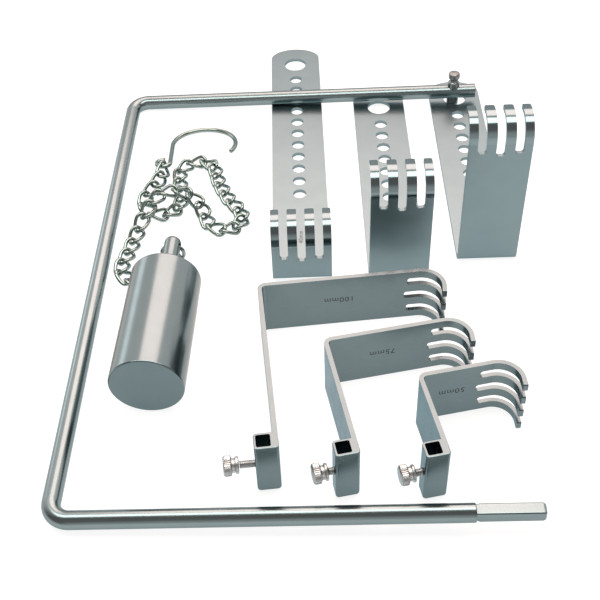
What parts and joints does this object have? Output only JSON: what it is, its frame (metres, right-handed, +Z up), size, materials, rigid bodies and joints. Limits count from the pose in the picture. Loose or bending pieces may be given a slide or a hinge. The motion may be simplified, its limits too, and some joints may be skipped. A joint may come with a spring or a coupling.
{
  "type": "incision retractor",
  "caption": "Incision retractor set: C-shaped rod frame with pivot pin, perforated strap claw blades, socket claw blades with thumb screws, and a weight on a chain with a wire hook.",
  "frame": {"origin": "on the table, in the middle of the laid-out set's bounding box", "axes": "+Z up, +Y towards the far bar with the pivot pin, +X to the frame's open side"},
  "size_m": [0.2637, 0.423, 0.1],
  "materials": {
    "satin_steel": "satin polished stainless steel",
    "turned_steel": "fine turned stainless steel",
    "bright_steel": "bright polished stainless steel"
  },
  "bodies": {
    "frame": {"frame_rod": "satin_steel", "pivot_pin": "satin_steel"},
    "strap_40": {"strap_blade_40": "satin_steel"},
    "strap_75": {"strap_blade_75": "satin_steel"},
    "strap_100": {"strap_blade_100": "satin_steel"},
    "hook_100": {"hook_blade_100": "satin_steel", "socket_100": "satin_steel"},
    "screw_100": {"screw_100": "bright_steel"},
    "screw_head_100": {"screw_head_100": "bright_steel"},
    "hook_75": {"hook_blade_75": "satin_steel", "socket_75": "satin_steel"},
    "screw_75": {"screw_75": "bright_steel"},
    "screw_head_75": {"screw_head_75": "bright_steel"},
    "hook_50": {"hook_blade_50": "satin_steel", "socket_50": "satin_steel"},
    "screw_50": {"screw_50": "bright_steel"},
    "screw_head_50": {"screw_head_50": "bright_steel"},
    "weight": {"weight": "turned_steel"},
    "chain": {"link_01": "bright_steel", "link_02": "bright_steel", "link_03": "bright_steel", "link_04": "bright_steel", "link_05": "bright_steel", "link_06": "bright_steel", "link_07": "bright_steel", "link_08": "bright_steel", "link_09": "bright_steel", "link_10": "bright_steel", "link_11": "bright_steel", "link_12": "bright_steel", "link_13": "bright_steel", "link_14": "bright_steel", "link_15": "bright_steel", "link_16": "bright_steel", "link_17": "bright_steel", "link_18": "bright_steel", "link_19": "bright_steel", "link_20": "bright_steel", "link_21": "bright_steel", "link_22": "bright_steel", "link_23": "bright_steel", "link_24": "bright_steel", "link_25": "bright_steel", "link_26": "bright_steel", "link_27": "bright_steel", "link_28": "bright_steel", "link_29": "bright_steel", "link_30": "bright_steel", "link_31": "bright_steel", "link_32": "bright_steel", "link_33": "bright_steel", "link_34": "bright_steel", "link_35": "bright_steel", "link_36": "bright_steel", "link_37": "bright_steel", "link_38": "bright_steel", "link_39": "bright_steel", "link_40": "bright_steel", "end_link": "bright_steel"},
    "hook": {"wire_hook": "bright_steel"}
  },
  "joints": [
    {"name": "strap_100_swing", "type": "hinge", "parent": "frame", "child": "strap_100", "pos_m": [0.11231, 0.13719, 0.01055], "axis": [0, 0, 1], "range_deg": [-5, 25]},
    {"name": "strap_40_slide", "type": "slide", "parent": "frame", "child": "strap_40", "axis": [0.0082, 1, 0], "range_m": [-0.03, 0.12]},
    {"name": "strap_75_slide", "type": "slide", "parent": "frame", "child": "strap_75", "axis": [0.0127, 0.9999, 0], "range_m": [-0.022, 0.12]},
    {"name": "hook_100_lift", "type": "slide", "parent": "frame", "child": "hook_100", "axis": [0, 0, 1], "range_m": [0, 0.06]},
    {"name": "screw_100_travel", "type": "slide", "parent": "hook_100", "child": "screw_100", "axis": [0.9974, 0.0722, 0], "range_m": [-0.0012, 0.0062]},
    {"name": "screw_100_turn", "type": "hinge", "parent": "screw_100", "child": "screw_head_100", "pos_m": [-0.03409, -0.17859, 0.0175], "axis": [0.9974, 0.0722, 0], "range_deg": [-618, 3189]},
    {"name": "hook_75_lift", "type": "slide", "parent": "frame", "child": "hook_75", "axis": [0, 0, 1], "range_m": [0, 0.06]},
    {"name": "screw_75_travel", "type": "slide", "parent": "hook_75", "child": "screw_75", "axis": [0.986, 0.1666, 0], "range_m": [-0.0045, 0.0012]},
    {"name": "screw_75_turn", "type": "hinge", "parent": "screw_75", "child": "screw_head_75", "pos_m": [0.00903, -0.18481, 0.0175], "axis": [0.986, 0.1666, 0], "range_deg": [-2315, 618]},
    {"name": "hook_50_lift", "type": "slide", "parent": "frame", "child": "hook_50", "axis": [0, 0, 1], "range_m": [0, 0.06]},
    {"name": "screw_50_travel", "type": "slide", "parent": "hook_50", "child": "screw_50", "axis": [0.9851, 0.1718, 0], "range_m": [-0.0039, 0.0018]},
    {"name": "screw_50_turn", "type": "hinge", "parent": "screw_50", "child": "screw_head_50", "pos_m": [0.05093, -0.1878, 0.0175], "axis": [0.9851, 0.1718, 0], "range_deg": [-2006, 926]},
    {"name": "weight_lift", "type": "slide", "parent": "frame", "child": "weight", "axis": [0, 0, 1], "range_m": [0, 0.06]},
    {"name": "chain_swing", "type": "hinge", "parent": "weight", "child": "chain", "pos_m": [-0.07479, -0.02232, 0.0201], "axis": [0, 0, 1], "range_deg": [-3, 3]},
    {"name": "hook_swing", "type": "hinge", "parent": "chain", "child": "hook", "pos_m": [-0.0868, 0.07167, 0.009], "axis": [1, 0, 0], "range_deg": [0, 20]}
  ],
  "couplings": [
    {"joint": "screw_100_turn", "follows": "screw_100_travel", "rad_per_m": 8976},
    {"joint": "screw_75_turn", "follows": "screw_75_travel", "rad_per_m": 8976},
    {"joint": "screw_50_turn", "follows": "screw_50_travel", "rad_per_m": 8976}
  ]
}
